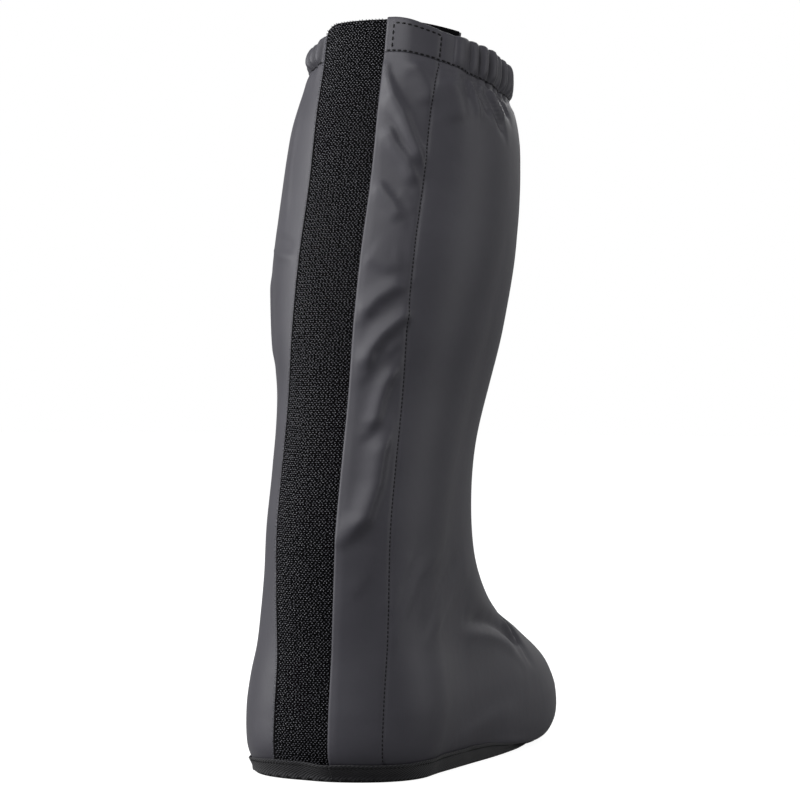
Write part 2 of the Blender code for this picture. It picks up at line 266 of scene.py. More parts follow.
RIM_LEVELS, SEAM_LEVELS = (14.6, TOP), (13.4, CASING_FOOT)
FRONT_BLEND = (92.0, 172.0)       # the casing's seam drops with the rim, but not past these arcs
UNDERLAY_LIFT = 0.62      # share of the rim's drop that the panel under the flap does not follow
SPRING_FROM = 0.66        # fraction of the length where the toe starts to rise
TOE_ROLL = 6.2            # how far the cloth sags between the sole edge and the bulge of the toe
ROLL_ALONG, ROLL_TOP = (0.38, 0.68), 1.5
FLAP_RISE = ((0, 1, 2, TOP), (1.0, 2.9, 3.7, 3.7))       # levels, and how far the flap stands off there
SQUARENESS = 2.2          # how squarish the ends of a section are, 2 for an ellipse
WIDEN_ALONG = (0.15, 0.7)     # where along the foot it widens from heel to ball
TURN_ALONG = (0.45, 1.0)      # and where the toe turns inward
print("sections:", len(SECTIONS), "height:", SECTIONS[-1][1], "mm")


# %% From arcs and levels to points
def ease(value):
    """Smooth step from 0 to 1."""
    value = np.clip(value, 0.0, 1.0)
    return value * value * (3 - 2 * value)


def ramp(value, start, end):
    """Smooth step from 0 at the start to 1 at the end, which may be the lower of the two."""
    return ease((value - start) / (end - start))


def bell(value, middle, width):
    """Bell curve, 1 in the middle and 0.37 a width away from it."""
    return np.exp(-((value - middle) / width) ** 2)


def rounded(value):
    """Rise from 0 to 1 like the end of a squarish ellipse."""
    return (1 - (1 - np.clip(value, 0, 1)) ** SQUARENESS) ** (1 / SQUARENESS)


def toe_spring(along):
    """Rise of the toe, from 0 where the ball lifts off the floor to 1 at the tip."""
    return np.clip((along - SPRING_FROM) / (1 - SPRING_FROM), 0, 1) ** 2


def section_row(level):
    """Measures of the section at a fractional section number, by a spline through the table."""
    low = min(int(level), TOP - 1)
    part = level - low
    a, b = SECTIONS[low], SECTIONS[low + 1]
    slope_a = (b - SECTIONS[low - 1]) / 2 if low else b - a
    slope_b = (SECTIONS[low + 2] - a) / 2 if low + 2 <= TOP else b - a
    return ((1 + 2 * part) * (1 - part) ** 2 * a + part * (1 - part) ** 2 * slope_a
            + part ** 2 * (3 - 2 * part) * b + part ** 2 * (part - 1) * slope_b)


def section(level, count=721):
    """Closed curve of one section with its arc lengths from the back centre, right positive."""
    size = dict(zip(SECTION_COLUMNS, section_row(level)))
    turn = np.linspace(-np.pi, np.pi, count)
    along = (1 - np.cos(turn)) / 2
    depth = size["front_y"] - size["back_y"]
    fit = min(1.0, depth / (size["round_back"] + size["round_front"]))
    half = size["half_heel"] + (size["half_ball"] - size["half_heel"]) * ramp(along, *WIDEN_ALONG)
    half = half * rounded(along * depth / (size["round_back"] * fit))
    half = half * rounded((1 - along) * depth / (size["round_front"] * fit))
    rise = (1 - size["plane"]) * toe_spring(along) + size["plane"] * along
    inward = size["toe_shift"] * ramp(along, *TURN_ALONG)
    points = np.stack([np.sign(turn) * half + inward,
                       size["back_y"] + along * depth,
                       size["back_z"] + (size["front_z"] - size["back_z"]) * rise], axis=1)
    sag = TOE_ROLL * np.sin(np.pi * min(level / ROLL_TOP, 1.0))
    points[:, 2] -= sag * ramp(along, *ROLL_ALONG)
    arcs = np.concatenate([[0], np.cumsum(np.linalg.norm(np.diff(points, axis=0), axis=1))])
    return arcs - arcs[count // 2], points + BOOT_MOVE


def follow(at, table, points, period=None):
    """Points of a curve at the given lengths along it; table has the lengths of its own points."""
    return np.stack([np.interp(at, table, points[:, axis], period=period) for axis in range(3)], axis=1)


def on_curve(curve, arcs):
    """Points of a closed curve at the given arcs."""
    table, points = curve
    return follow(arcs, table, points, period=table[-1] - table[0])


def unit(vectors):
    """The same directions with a length of one."""
    return vectors / np.linalg.norm(vectors, axis=1)[:, None]


def girth(level):
    """Length once round the boot."""
    arcs, _ = section(level)
    return arcs[-1] - arcs[0]


def rim_drop(arcs, level):
    """How far the elastic pulls the collar down."""
    rim, seam = ramp(level, *RIM_LEVELS), ramp(level, *SEAM_LEVELS)
    right = ramp(arcs, *RIM_RIGHT) * (seam + (rim - seam) * ramp(arcs, *FRONT_BLEND))
    left = ramp(arcs, *RIM_LEFT) * rim
    return RIM_DROP * np.maximum(right, left)


STEP_LEVEL, STEP_ARC = 0.03, 0.6     # steps to the neighbours that give the normals


def skin(arcs, level):
    """Points of the boot's surface, their outward normals and their upward directions."""
    arcs = np.asarray(arcs, float)
    curve = section(level)
    up, down = section(min(level + STEP_LEVEL, TOP)), section(max(level - STEP_LEVEL, 0))
    points = on_curve(curve, arcs)
    across = on_curve(curve, arcs + STEP_ARC) - on_curve(curve, arcs - STEP_ARC)
    upward = on_curve(up, arcs) - on_curve(down, arcs)
    normals = np.cross(across, upward)
    normals[:, 2] *= ease(level)
    points[:, 2] -= rim_drop(arcs, level)
    return points, unit(normals), unit(upward)


LEVEL_TABLE = np.linspace(0, TOP, 800)
HEIGHT_TABLE = np.array([section_row(level)[1] for level in LEVEL_TABLE])


def height_of(level):
    """Height of a level at the back centre, in millimetres."""
    return np.interp(level, LEVEL_TABLE, HEIGHT_TABLE)


def level_at(height):
    """Level of a height at the back centre."""
    return np.interp(height, HEIGHT_TABLE, LEVEL_TABLE)


print("girth at the ankle:", round(girth(7)), "mm, at the calf:", round(girth(12)), "mm")

# %% [markdown]
# ## Folds and gathers
# Thin coated cloth never lies smooth: the flap is pulled sideways by the closure, so slanting creases run
# from its edge to its seam, the shoe inside pulls a few at the instep, and the elastic makes gathers that
# fade out below the collar.  The creases could be simulated, but then they would not lie where the
# photograph has them.  Each one is listed instead, as a row with its route, its half width and
# its rise, a ridge if positive and a trough if not.

# %% Crease table: route in (arc, height at the back), half width and rise, all in millimetres
RIGHT_FOLDS = [
    # pulls on the flap under the collar
    (((15, 383), (19, 373), (25, 364), (30, 352), (34, 343), (38, 332)), 4.2, 4.4),
    (((16, 359), (22, 347), (29, 337), (36, 322)), 3.9, 2.9),
    (((25, 396), (31, 387), (36, 377), (38, 368)), 4.6, 1.8),
    (((12, 395), (14, 386), (17, 378)), 3.0, 1.6),
    (((14, 326), (20, 318), (25, 312), (31, 303)), 3.8, 2.0),
    (((26, 320), (32, 315), (37, 308)), 3.4, 0.7),
    # pulls on the flap at the calf
    (((35, 280), (26, 278), (13, 284)), 7.0, 1.2),
    (((37, 268), (30, 265), (22, 259), (15, 249)), 4.8, 2.4),
    (((38, 257), (37, 250), (31, 244), (26, 239), (21, 231), (19, 219)), 4.2, 3.5),
    (((36, 237), (29, 229)), 2.6, 0.9),
    (((35, 224), (29, 212), (27, 203), (26, 194), (22, 186)), 3.8, 3.1),
    # long fold of the flap over the ankle
    (((33, 188), (30, 175), (29, 158), (25, 140), (18, 132), (14, 129)), 5.2, 4.3),
    (((31, 127), (27, 110), (19, 98)), 5.0, 0.5),
    (((45, 389), (52, 375), (57, 362)), 7.0, 2.0),
    # wrinkles under the gathers
    (((54, 396), (56, 388), (60, 377)), 2.4, -2.0),
    (((62, 394), (66, 385), (78, 371)), 3.0, -2.8),
    (((69, 394), (78, 380), (95, 364)), 3.2, -2.8),
    (((84, 396), (92, 389), (106, 378)), 3.0, -2.6),
    (((58, 392), (64, 378), (68, 366)), 2.4, 1.6),
    (((76, 392), (84, 380), (94, 374)), 2.4, 1.6),
    # slack round the ankle
    (((82, 120), (57, 108), (45, 86), (40, 64)), 6.0, 0.8),
    (((53, 122), (44, 106), (38, 86)), 4.5, 0.7),
    (((134, 106), (100, 95), (65, 73)), 8.0, 1.0),
    (((110, 112), (80, 98), (55, 72)), 7.0, -0.8),
    # the hollow at the instep and the lips below it
    (((229, 43), (222, 49), (208, 56), (186, 64), (167, 69), (145, 73), (125, 75)), 4.4, -3.2),
    (((122, 69), (142, 66.5), (164, 62), (183, 57), (198, 52), (210, 46.5), (219, 41)), 2.7, 1.5),
    (((120, 65), (164, 57), (198, 47), (213, 38)), 9.0, 0.9),
    # side of the toe, and the vamp
    (((105, 16), (128, 20), (145, 22.5), (166, 24.5), (192, 25)), 5.0, 0.8),
    (((206, 65), (216, 57), (222, 50), (225, 44)), 2.6, 1.8),
    (((209, 73), (221, 63), (229, 54), (232, 46)), 3.2, -3.2),
]
LEFT_FOLDS = [
    # kink at the calf
    (((-70, 293), (-49, 288), (-33, 285)), 2.6, 1.1),
    (((-66, 301), (-36, 293)), 3.5, -0.8),
    (((-73, 281), (-71, 264), (-66, 246), (-58, 222)), 7.0, 1.4),
    (((-52, 395), (-56, 340), (-50, 305)), 6.0, 0.7),
    (((-45, 190), (-48, 120), (-45, 60)), 8.0, 0.6),
]
print("creases:", len(RIGHT_FOLDS) + len(LEFT_FOLDS))

# %% One crease
SHARP, BROAD = 0.6, 1.25      # a fold is steep on the left of its route and slopes gently on the right
END_SHARE, END_RISE = 0.2, 0.25           # a fold's end parts, and what is left of its rise at the very end


def crease(arcs, heights, route, width, rise):
    """One ridge or trough along a route, fading at both ends."""
    route = np.array(route, float)
    pieces = np.diff(route, axis=0)
    lengths = np.linalg.norm(pieces, axis=1)
    starts = np.concatenate([[0], np.cumsum(lengths)])
    nearest = np.full(np.shape(arcs), 1e9)
    along = np.zeros(np.shape(arcs))
    side = np.zeros(np.shape(arcs))
    for start, piece, length, before in zip(route, pieces, lengths, starts):
        part = ((arcs - start[0]) * piece[0] + (heights - start[1]) * piece[1]) / length ** 2
        part = np.clip(part, 0, 1)
        away = np.hypot(arcs - start[0] - part * piece[0], heights - start[1] - part * piece[1])
        closer = away < nearest
        nearest = np.where(closer, away, nearest)
        along = np.where(closer, (before + part * length) / starts[-1], along)
        turn = (piece[0] * (heights - start[1]) - piece[1] * (arcs - start[0])) / length
        side = np.where(closer, turn, side)
    fade = END_RISE + (1 - END_RISE) * ease(along / END_SHARE) * ease((1 - along) / END_SHARE)
    width = width * (BROAD + (SHARP - BROAD) * ease(0.5 + side / width))
    return rise * fade * bell(nearest, 0, width)


print("steepest fold rises", max(fold[2] for fold in RIGHT_FOLDS), "mm")

# %% Gathers and slack
# Valleys between the gathers: listed where the photograph shows them, at random round the front
RIGHT_VALLEYS = (46, 57.5, 66, 75.5, 86, 96.5, 106)
LEFT_VALLEYS = (-57, -49, -41.5, -35)
RIGHT_SIZES, LEFT_SIZES = (0.45, 0.75, 0.95, 1.1, 0.9, 1.1), (1.0, 0.9, 0.7)
RIGHT_START, LEFT_START = 16.0, 8.0       # millimetres over which the gathers begin beside the closure
FRONT_GATHERS = 19
gather_random = np.random.default_rng(7)
casing_girth = girth(CASING_FOOT)
front_girth = casing_girth + LEFT_VALLEYS[0] - RIGHT_VALLEYS[-1]
front_steps = gather_random.uniform(0.75, 1.25, FRONT_GATHERS)
front_valleys = RIGHT_VALLEYS[-1] + front_girth * np.cumsum(front_steps) / front_steps.sum()
VALLEYS = np.concatenate([RIGHT_VALLEYS, front_valleys, casing_girth + np.array(LEFT_VALLEYS[1:])])
front_sizes = gather_random.uniform(0.75, 1.2, FRONT_GATHERS)
SIZES = np.concatenate([[0], RIGHT_SIZES, front_sizes, LEFT_SIZES, [0]])
# Slow waves of the hanging cloth: rise in millimetres, waves round, height for one radian, and start
WAVES = ((0.3, 3, 63.0, 0.0), (0.2, 4, -41.0, 1.3), (0.25, 2, 31.0, 0.4))
WAVES_LOW, WAVES_HIGH = (0, 1.5), (TOP, TOP - 2)      # levels over which they set in at both ends


def gathered(arcs):
    """How far the elastic has bunched the cloth: 0 on the flat closure, 1 all round the rest."""
    right = ease((arcs - RIGHT_VALLEYS[0]) / RIGHT_START)
    return np.where(arcs > 0, right, ease((LEFT_VALLEYS[-1] - arcs) / LEFT_START))


def gathers(arcs, level):
    """Rounded gathers with sharper valleys between them, 0 in the valleys and about 1 on top."""
    round_boot = np.where(arcs > 0, arcs, arcs * (casing_girth / girth(level)) + casing_girth)
    number = np.searchsorted(VALLEYS, round_boot)
    edges = np.concatenate([[0], VALLEYS, [1e4]])
    part = (round_boot - edges[number]) / (edges[number + 1] - edges[number])
    return SIZES[number] * np.sin(np.pi * np.clip(part, 0, 1)) ** 0.5


def slack(arcs, level):
    """The slow waves of hanging cloth, the same all round, in millimetres."""
    turn = 2 * np.pi * arcs / girth(level)
    height = height_of(level)
    waves = sum(rise * np.sin(count * turn + height / pitch + start) for rise, count, pitch, start in WAVES)
    return waves * ramp(level, *WAVES_LOW) * ramp(level, *WAVES_HIGH)


print("gathers:", len(SIZES) - 2)

# %% Where the cloth bulges and sinks
CASING_DIP = 0.7          # the cloth gives way to the casing that lies on it
RIM_SAG = 2.2
SAG_SETS_IN, SAG_RUNS_OUT = (14.0, 40.0), (58.0, 45.0)        # arcs
PINCH_RIGHT, PINCH_LEFT = 1.8, 1.2      # the elastic draws the cloth in
RIGHT_PINCH_LEVELS, LEFT_PINCH_LEVELS = (13.6, CASING_FOOT), (14.2, CASING_FOOT)
LEFT_EASED, EASED_LEVELS = 0.7, (15.1, 15.6)          # on the left it lets go again under the casing
GATHER_DEPTH = 2.0        # the gathers where they run out below the casing
GATHER_LEVELS = (13.5, CASING_FOOT)
GATHER_MIDDLE = 0.5       # share of a gather's depth that lies inside the plain surface
TOE_BELLY, BELLY_LEVEL, BELLY_HIGH = 1.6, 0.5, 0.24
BELLY_ARCS = (120.0, 190.0)
HEEL_CORNER = 1.6         # the heel's right corner is rounder than the section table has it
CORNER_ARC, CORNER_WIDE, CORNER_TOP = 78.0, 24.0, 2.5


def under_collar(arcs, level):
    """Gathers that fade out below the casing, and the pinch that the elastic makes."""
    bunched = gathered(arcs)
    right = PINCH_RIGHT * ramp(level, *RIGHT_PINCH_LEVELS)
    left = PINCH_LEFT * ramp(level, *LEFT_PINCH_LEVELS) * (1 - LEFT_EASED * ramp(level, *EASED_LEVELS))
    waves = ramp(level, *GATHER_LEVELS) * GATHER_DEPTH * (gathers(arcs, level) - GATHER_MIDDLE * bunched)
    return waves - np.where(arcs > 0, right, left) * bunched


def heel_corner(arcs, level):
    """A small inward shift at the turn from heel to side, low on the right."""
    return -HEEL_CORNER * bell(arcs, CORNER_ARC, CORNER_WIDE) * ramp(level, CORNER_TOP, 0)


def toe_belly(arcs, level):
    """The cloth bellies out over the binding round the toe."""
    return TOE_BELLY * bell(level, BELLY_LEVEL, BELLY_HIGH) * ramp(np.abs(arcs), *BELLY_ARCS)


def rim_sag(arcs, level):
    """Extra drop of the flap's rim toward its right end, below the corner of the panel behind it."""
    high = np.clip(level - CASING_FOOT, 0, 1) ** 2
    return RIM_SAG * high * ramp(arcs, *SAG_SETS_IN) * ramp(arcs, *SAG_RUNS_OUT)


def underlay_drop(arcs, level):
    """The left panel's corner hangs back less than the flap, so it stands over the flap's rim."""
    return -UNDERLAY_LIFT * rim_drop(arcs, level) * (arcs > 0)


def drift(level):
    """Shift of the hook tape toward the right, low on the heel."""
    return HEEL_DRIFT * ramp(level, *DRIFT_LEVELS)


print("hook tape drifts", round(float(drift(0.0)), 1), "mm to the right at the heel")

# %% How far each panel lies off the plain surface
EDGE_DIP, EDGE_DIP_WIDE, EDGE_DIP_LEVEL = 0.6, 5.0, 2.0       # the flap's edge bends down onto the hooks
EDGE_ROLL, EDGE_ROLL_WIDE = 0.75, 1.1   # the fold along that edge is round
SEAM_SINK, SEAM_WIDE = 0.6, 1.2         # the stitches draw the cloth in along the flap's seam
FLAP_BULGE = 3.0          # the flap's top stands away in its middle, which turns its edge to the light
BULGE_SETS_IN, BULGE_RUNS_OUT, BULGE_LEVELS = (FLAP_EDGE, 24.5), (75.0, 30.0), (12.5, 14.5)
SHIN_FULL = 1.6           # the cloth hangs a little fuller down the right of the shin
SHIN_ARC, SHIN_HEIGHT, SHIN_SPREAD = 150.0, 222.0, 40.0
FOLDS_TOP = CASING_FOOT - 0.6           # the folds run out from here to the casing
FRONT_ROOM = 10.0         # and this far from the middle of the front, where the two sides meet
# Millimetres over which waves, folds and gathers set in beside the sewn closure
EDGE_STIFF, TAPE_STIFF, TAPE_CREASED, CASING_STIFF = 30.0, 20.0, 6.0, 8.0


def flap_climb(arcs, level):
    """How far the right panel stands off the boot to pass over the closure."""
    return (np.interp(level, *FLAP_RISE) + WALL) * ramp(arcs, *CLIMB)


def right_panel(arcs, level):
    """Outer face of the right panel: flush at the side, climbing over the closure as the flap."""
    height = np.full(np.shape(arcs), height_of(level))
    from_edge = arcs - FLAP_EDGE
    over = flap_climb(arcs, level)
    over = over - EDGE_DIP * ramp(level, 0, EDGE_DIP_LEVEL) * ramp(from_edge, EDGE_DIP_WIDE, 0)
    over = over - EDGE_ROLL * np.clip(1 - from_edge / EDGE_ROLL_WIDE, 0, 1) ** 2
    over = over - SEAM_SINK * bell(arcs, FLAP_SEAM, SEAM_WIDE)
    top_bulge = ramp(arcs, *BULGE_SETS_IN) * ramp(arcs, *BULGE_RUNS_OUT) * ramp(level, *BULGE_LEVELS)
    over = over + FLAP_BULGE * top_bulge
    free = ramp(level, CASING_FOOT, FOLDS_TOP) * ramp(girth(level) / 2 - arcs, 0, FRONT_ROOM)
    for route, width, rise in RIGHT_FOLDS:
        over = over + crease(arcs, height, route, width, rise) * free
    shin = bell(height, SHIN_HEIGHT, SHIN_SPREAD) * bell(arcs, SHIN_ARC, SHIN_SPREAD)
    over = over + under_collar(arcs, level) + heel_corner(arcs, level) + SHIN_FULL * shin
    return over + toe_belly(arcs, level) + slack(arcs, level) * ramp(from_edge, 0, EDGE_STIFF)


def left_panel(arcs, level):
    """Outer face of the left panel, flat where the hook tape is sewn on."""
    height = np.full(np.shape(arcs), height_of(level))
    off = slack(arcs, level) * ramp(TAPE_LEFT - arcs, 0, TAPE_STIFF)
    free = ramp(TAPE_LEFT + drift(level) - arcs, 0, TAPE_CREASED)
    for route, width, rise in LEFT_FOLDS:
        off = off + crease(arcs, height, route, width, rise) * free
    collar_part = under_collar(arcs, level) * ramp(CASING_LEFT - arcs, 0, CASING_STIFF)
    return off + toe_belly(arcs, level) + collar_part


print("flap stands", round(float(right_panel(np.array([25.0]), 8.0)[0]), 2), "mm off the left panel")

# %% [markdown]
# ## Coated polyester
# The cloth is a plain woven polyester with a polyurethane coat.  The coat fills the weave, so from a step
# away the eye sees an even dark grey with a soft sheen, a few cloudy patches of gloss and hardly any
# thread.  The back of the cloth has no coat and is duller.  Both read the piece's own UV map, which is
# laid out in metres along the cloth.

# %% Coated polyester and its uncoated back
THREAD_PITCH = 0.9 * MM     # real threads are about 0.3 mm apart, drawn coarser so that they show
WAVE_SCALE = 0.314          # a wave texture's scale for bands one unit apart
CLOUD_SIZE, RUMPLE_SIZE = 35 * MM, 9 * MM


def cloth(name, colours, gloss, weave_depth):
    """Woven polyester: cloudy colour and gloss over a plain weave, rumpled a little."""
    material, shader = start_material(name, {"Specular IOR Level": 0.38, "Sheen Weight": 0.06,
                                             "Sheen Roughness": 0.4})
    place = add_node(material, "TexCoord", {}, {}).outputs["UV"]
    cloud = add_node(material, "TexNoise", {"Scale": 1 / CLOUD_SIZE, "Detail": 3.0}, {"Vector": place})
    dress(material, shader, cloud.outputs["Fac"], colours, gloss, span=(0.3, 0.7))
    weave = add_node(material, "Math", {"operation": "MAXIMUM"}, {})
    for number, axis in enumerate("XY"):
        threads = add_node(material, "TexWave", {"bands_direction": axis,
                                                 "Scale": WAVE_SCALE / THREAD_PITCH}, {"Vector": place})
        feed(material, weave, {number: threads.outputs["Fac"]})
    bump = add_node(material, "Bump", {"Strength": weave_depth, "Distance": 0.1 * MM},
                    {"Height": weave.outputs["Value"]})
    rumple = add_node(material, "TexNoise", {"Scale": 1 / RUMPLE_SIZE, "Detail": 2.0}, {"Vector": place})
    soft = add_node(material, "Bump", {"Strength": 0.25, "Distance": 0.5 * MM},
                    {"Height": rumple.outputs["Fac"], "Normal": bump.outputs["Normal"]})
    feed(material, shader, {"Normal": soft.outputs["Normal"]})
    return material


# The coat gives an even dark grey with a soft sheen, and the bare back is duller with more thread in it
coated_polyester = cloth("coated polyester", ("#302f36", "#37363d"), (0.47, 0.58), 0.07)
polyester_back = cloth("uncoated polyester back", ("#2a2a2e", "#303034"), (0.75, 0.86), 0.5)
print("cloth:", coated_polyester.name, "and", polyester_back.name)

# %% [markdown]
# ## Upper
# The upper is one sheet of cloth wrapped round the boot, from the folded edge of the flap, round the front
# and on under the hook tape.  A box model could not follow that, so a flat grid is laid out and every
# vertex is moved to its arc and level, with the folds added along the normal.  Solidify then gives the
# sheet its thickness, toward the inside, with the uncoated back as the second material.


# %% A sheet laid on the boot
def place_grid(name, points, uvs):
    """A mesh from a flat grid, its vertices moved to the given rows and columns of points."""
    rows, columns = points.shape[:2]
    shape = bmesh.new()
    bmesh.ops.create_grid(shape, x_segments=columns - 1, y_segments=rows - 1, size=0.5)
    mesh = to_mesh(name, shape)
    flat = np.empty(len(mesh.vertices) * 3, np.float32)
    mesh.vertices.foreach_get("co", flat)
    flat = flat.reshape(-1, 3)
    column = np.rint((flat[:, 0] + 0.5) * (columns - 1)).astype(int)
    row = np.rint((flat[:, 1] + 0.5) * (rows - 1)).astype(int)
    mesh.vertices.foreach_set("co", (points[row, column] * MM).astype(np.float32).ravel())
    corner = np.empty(len(mesh.loops), np.int32)
    mesh.loops.foreach_get("vertex_index", corner)
    uv_map = mesh.uv_layers.new(name="UVMap")
    uv_map.data.foreach_set("uv", (uvs[row, column][corner] * MM).astype(np.float32).ravel())
    mesh.shade_smooth()
    mesh.update()
    return mesh


def add_piece(name, mesh, materials, part):
    """Link a finished piece, ride it on the boot and hide the solid that it stands for."""
    node, slot = part
    for material in materials:
        mesh.materials.append(material)
    piece = add_object(name, mesh)
    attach(piece, "root")
    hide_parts(node)
    return piece


def add_sheet(name, rows, uvs, materials, part, thickness, inner_material=0):
    """A piece of sheet goods from its rows of points, with its thickness toward the inside."""
    piece = add_piece(name, place_grid(name, np.array(rows), np.array(uvs)), materials, part)
    wall = piece.modifiers.new("wall", "SOLIDIFY")
    wall.thickness = thickness * MM
    wall.offset = -1.0
    wall.use_even_offset = False
    wall.material_offset = inner_material
    wall.material_offset_rim = 0
    print(name + ":", len(piece.data.polygons), "faces")
    return piece


def lay(arcs, level, off, drop=0.0):
    """Points that stand off the boot by the given millimetres and hang lower by the given drop."""
    points, normals, _ = skin(arcs, level)
    points = points + normals * np.reshape(off, (-1, 1))
    points[:, 2] -= drop
    return points


def row_map(along, up):
    """UV places of one row, in millimetres along the sheet and up it."""
    return np.stack([along, np.full(len(along), up)], axis=1)


# %% Upper
UPPER = ("upper", "coated_fabric")
LOW_ROWS, HIGH_ROWS = 16, 196     # closer together along the sole, where the toe bellies out
LOW_TOP, HIGH_FOOT = 15.5, 17.0
LEFT_FINE = -85.0         # from here to the hook tape the columns are close together
LEFT_COLUMNS, FINE_COLUMNS, UNDERLAY_COLUMNS = 34, 33, 15
FRONT_FROM = 113.5        # arc where the columns of the front begin
DIP_OVER = 0.1            # levels over which the cloth gives way to the casing
# Columns lie closest at the rounded edge, along the seam and where the folds are
edge_columns = FLAP_EDGE + np.array((0, 0.25, 0.6, 1.1, 1.8, 2.6, 3.5))
flap_columns = np.concatenate([np.arange(15.2, 36.0, 1.15), np.arange(36.4, 41.0, 0.6),
                               np.arange(42.0, 62.0, 1.6)])
ramp_columns = np.arange(62.6, 112.0, 1.3)
front_shares = np.concatenate([np.linspace(0, 0.3, 12), np.linspace(0.315, 0.85, 38),
                               np.linspace(0.87, 1.0, 8)])
upper_heights = np.concatenate([np.linspace(HEIGHT_TABLE[0], LOW_TOP, LOW_ROWS),
                                np.linspace(HIGH_FOOT, HEIGHT_TABLE[-1], HIGH_ROWS)])
upper_levels = level_at(upper_heights)
upper_rows, upper_uvs = [], []
for level in upper_levels:
    half = girth(level) / 2
    front_columns = FRONT_FROM + (half - FRONT_FROM) * front_shares
    right = np.concatenate([edge_columns, flap_columns, ramp_columns, front_columns])
    left_end = CASING_LEFT - 1 + drift(level)
    underlay_end = UNDERLAY_END + drift(level)
    left = np.concatenate([np.linspace(-half, LEFT_FINE, LEFT_COLUMNS + 1)[1:],
                           np.linspace(LEFT_FINE, left_end, FINE_COLUMNS + 1)[1:],
                           np.linspace(left_end, underlay_end, UNDERLAY_COLUMNS + 1)[1:]])
    arcs = np.concatenate([right, left])
    off = np.concatenate([right_panel(right, level), left_panel(left, level)])
    under_casing = np.arange(len(arcs)) < len(arcs) - UNDERLAY_COLUMNS
    off = off - CASING_DIP * ramp(level - CASING_FOOT, 0, DIP_OVER) * under_casing
    drop = np.concatenate([rim_sag(right, level), underlay_drop(left, level)])
    upper_rows.append(lay(arcs, level, off, drop))
    upper_uvs.append(row_map(np.concatenate([right, -left]), height_of(level)))
upper = add_sheet("upper_cloth", upper_rows, upper_uvs, [coated_polyester, polyester_back], UPPER, WALL,
                  inner_material=1)

# %% [markdown]
# ## Elastic collar
# At the top the cloth is turned over to make a casing, an elastic is drawn through it, and the casing
# bunches up into gathers.  Over the flap it stays flat, where it is box-stitched.  The sheet runs up the
# outside, over the rim and a little way down the inside, so the rim is a soft roll from above too.

# %% Collar casing
COLLAR = ("elastic_collar", "gathered_fabric")
CASING_PUFF_RIGHT, CASING_PUFF_LEFT = 0.5, 1.9
GATHER_RISE = 3.7
GATHER_MEAN = 0.4         # share of a gather's rise that is taken off again, to keep the casing's girth
INNER_SHARE = 0.6         # the gathers are shallower on the inside
CASING_LAYER = 0.35       # thickness of the casing's cloth
CASING_HIGH = 20.0
ROLL_FROM, ROLL_SLOPE = 0.9, 4.0        # near the rim the casing rises into a roll
GATHER_LIFT = 0.5         # the gathers stand up a little at the rim
# Fraction of the casing's height, lift off the cloth below, fullness, and side: 1 outside, -1 inside
CASING_ROWS = ((0.0, 0.04, 0.0, 1), (0.03, 0.08, 0.12, 1), (0.07, 0.15, 0.3, 1), (0.13, 0.22, 0.55, 1),
               (0.2, 0.28, 0.8, 1), (0.3, 0.32, 0.95, 1), (0.4, 0.35, 1.0, 1), (0.5, 0.35, 1.0, 1),
               (0.6, 0.35, 1.0, 1), (0.7, 0.35, 0.95, 1), (0.8, 0.35, 0.85, 1), (0.89, 0.3, 0.7, 1),
               (0.96, 0.1, 0.5, 1), (1.0, -0.5, 0.3, 1), (1.01, -1.3, 0.0, 1), (1.0, -2.1, 0.3, -1),
               (0.96, -2.5, 0.5, -1), (0.85, -2.7, 0.8, -1), (0.6, -2.7, 0.8, -1), (0.3, -2.5, 0.5, -1))


def panel(arcs, level):
    """Outer face of whichever panel is outside at each arc."""
    return np.where(arcs > 0, right_panel(arcs, level), left_panel(arcs, level))


casing_arcs = np.concatenate([FLAP_EDGE + np.array((0, 0.3, 0.8)),
                              np.arange(FLAP_EDGE + 1.6, casing_girth / 2, 0.6),
                              np.arange(-casing_girth / 2, TAPE_LEFT - 1.2, 0.6)])
is_gathered = gathered(casing_arcs)
casing_gathers = gathers(casing_arcs, CASING_FOOT) - GATHER_MEAN * is_gathered
casing_puff = np.where(casing_arcs > 0, CASING_PUFF_RIGHT, CASING_PUFF_LEFT) * is_gathered
casing_rows, casing_uvs = [], []
for fraction, lift, fullness, side in CASING_ROWS:
    level = CASING_FOOT + min(fraction, 1.0) * (TOP - CASING_FOOT)
    bunch = fullness * (casing_puff + GATHER_RISE * casing_gathers)
    off = panel(casing_arcs, level) + lift + (bunch if side > 0 else -INNER_SHARE * bunch)
    raised = max(fraction - ROLL_FROM, 0) * ROLL_SLOPE + fraction * GATHER_LIFT * casing_gathers
    casing_rows.append(lay(casing_arcs, level, off, rim_sag(casing_arcs, level) - raised))
    up = CASING_HIGH * (fraction if side > 0 else 2 - fraction)
    casing_uvs.append(row_map(casing_arcs % casing_girth, up))
collar = add_sheet("collar_casing", casing_rows, casing_uvs, [coated_polyester], COLLAR, CASING_LAYER)

# %% [markdown]
# ## Hook tape
# The wide black strip is nylon hook tape: a woven ground with thousands of little bent hooks in straight,
# staggered rows, every second row turned the other way.  Real hooks are needed, because they give the strip
# its dotted look and its rough outline.  One hook of a few faces is extruded and an Array repeats
# it; each copy is then stood on the boot at its own arc and level.

# %% Nylon for the tapes
# Dyed nylon yarn is nearly black; its fine speckle is painted glint where single filaments catch the light
NYLON_RELIEF = (0.5, 0.2 * MM)
tape_ground = grained("woven nylon tape ground", ("#040405", "#09090a"), (0.9, 1.05), 1.2 * MM, 1.0, 0.05,
                      NYLON_RELIEF, "UV")
# The hooks are the same black nylon as the ground; their grey is painted highlight, varied from hook to
# hook
hook_nylon_painted_highlight = grained("bent nylon hooks, painted highlight", ("#3a3a3f", "#5e5e65"), (0.4, 0.55), 1.1 * MM, 1.0, 0.4,
                     NYLON_RELIEF)
loop_nylon = grained("brushed nylon loops", ("#060607", "#26262a"), (0.85, 1.0), 0.9 * MM, 1.0, 0.3,
                     NYLON_RELIEF, "UV")
print("nylon:", tape_ground.name + ",", hook_nylon_painted_highlight.name, "and", loop_nylon.name)

